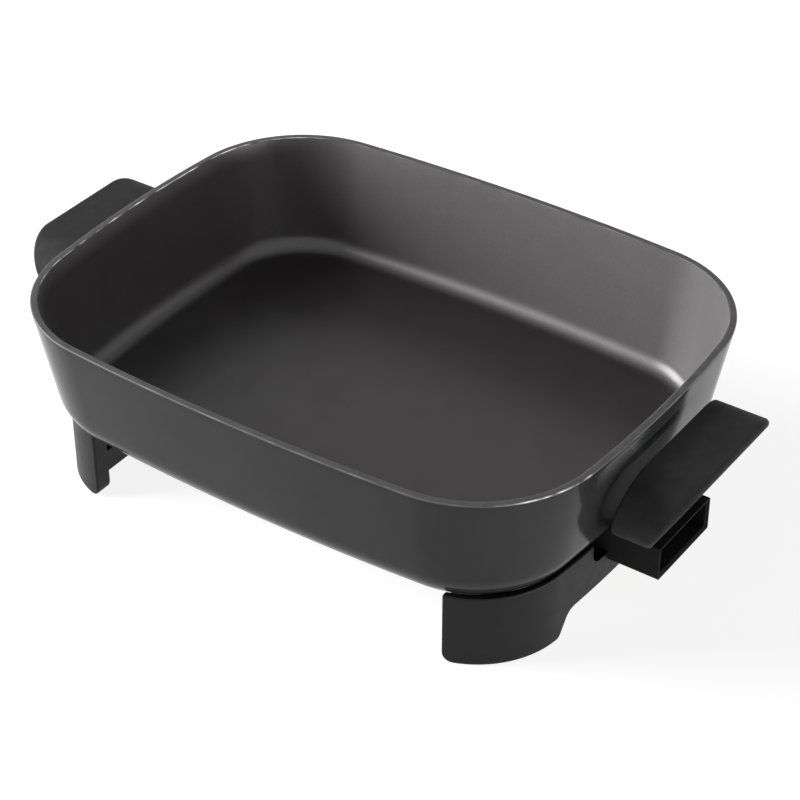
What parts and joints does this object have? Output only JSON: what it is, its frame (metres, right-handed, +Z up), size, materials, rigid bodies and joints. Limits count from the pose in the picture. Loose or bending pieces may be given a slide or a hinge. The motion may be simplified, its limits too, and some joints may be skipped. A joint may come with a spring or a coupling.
{
  "type": "electric griddle",
  "caption": "Deep rounded-rectangular electric griddle pan on two corner-footed brackets, with an arched handle at each end and a plug socket under one handle.",
  "frame": {"origin": "on the table, under the middle of the pan", "axes": "+X along the pan to the end with the socket, +Y to the rear long side, +Z up"},
  "size_m": [0.4412, 0.2796, 0.1152],
  "materials": {
    "pan_coating": "satin non-stick coating",
    "element_steel": "dull, heat-toned",
    "contact_brass": "plain",
    "ceramic_white": "matte",
    "bare_aluminium": "plain",
    "screw_steel": "zinc plated",
    "black_moulding": "satin, moulded",
    "spacer_fibre": "matte",
    "pad_rubber": "matte"
  },
  "bodies": {
    "root": {"pan": "pan_coating", "heating_element": "element_steel", "terminal_pins": "contact_brass", "terminal_insulators": "ceramic_white", "probe_sleeve": "bare_aluminium", "earth_strip": "contact_brass", "earth_screw": "screw_steel", "socket_shroud": "black_moulding", "handle_base_left": "black_moulding", "shroud_screws": "screw_steel", "base_screws_left": "screw_steel", "handle_right": "black_moulding", "handle_left": "black_moulding", "handle_screws_right": "screw_steel", "handle_screws_left": "screw_steel", "foot_bracket_right": "black_moulding", "foot_bracket_left": "black_moulding", "bracket_screws_right": "screw_steel", "bracket_screws_left": "screw_steel", "bracket_spacers_right": "spacer_fibre", "bracket_spacers_left": "spacer_fibre", "foot_pad_front_right": "pad_rubber", "foot_pad_rear_right": "pad_rubber", "foot_pad_front_left": "pad_rubber", "foot_pad_rear_left": "pad_rubber"}
  },
  "joints": []
}
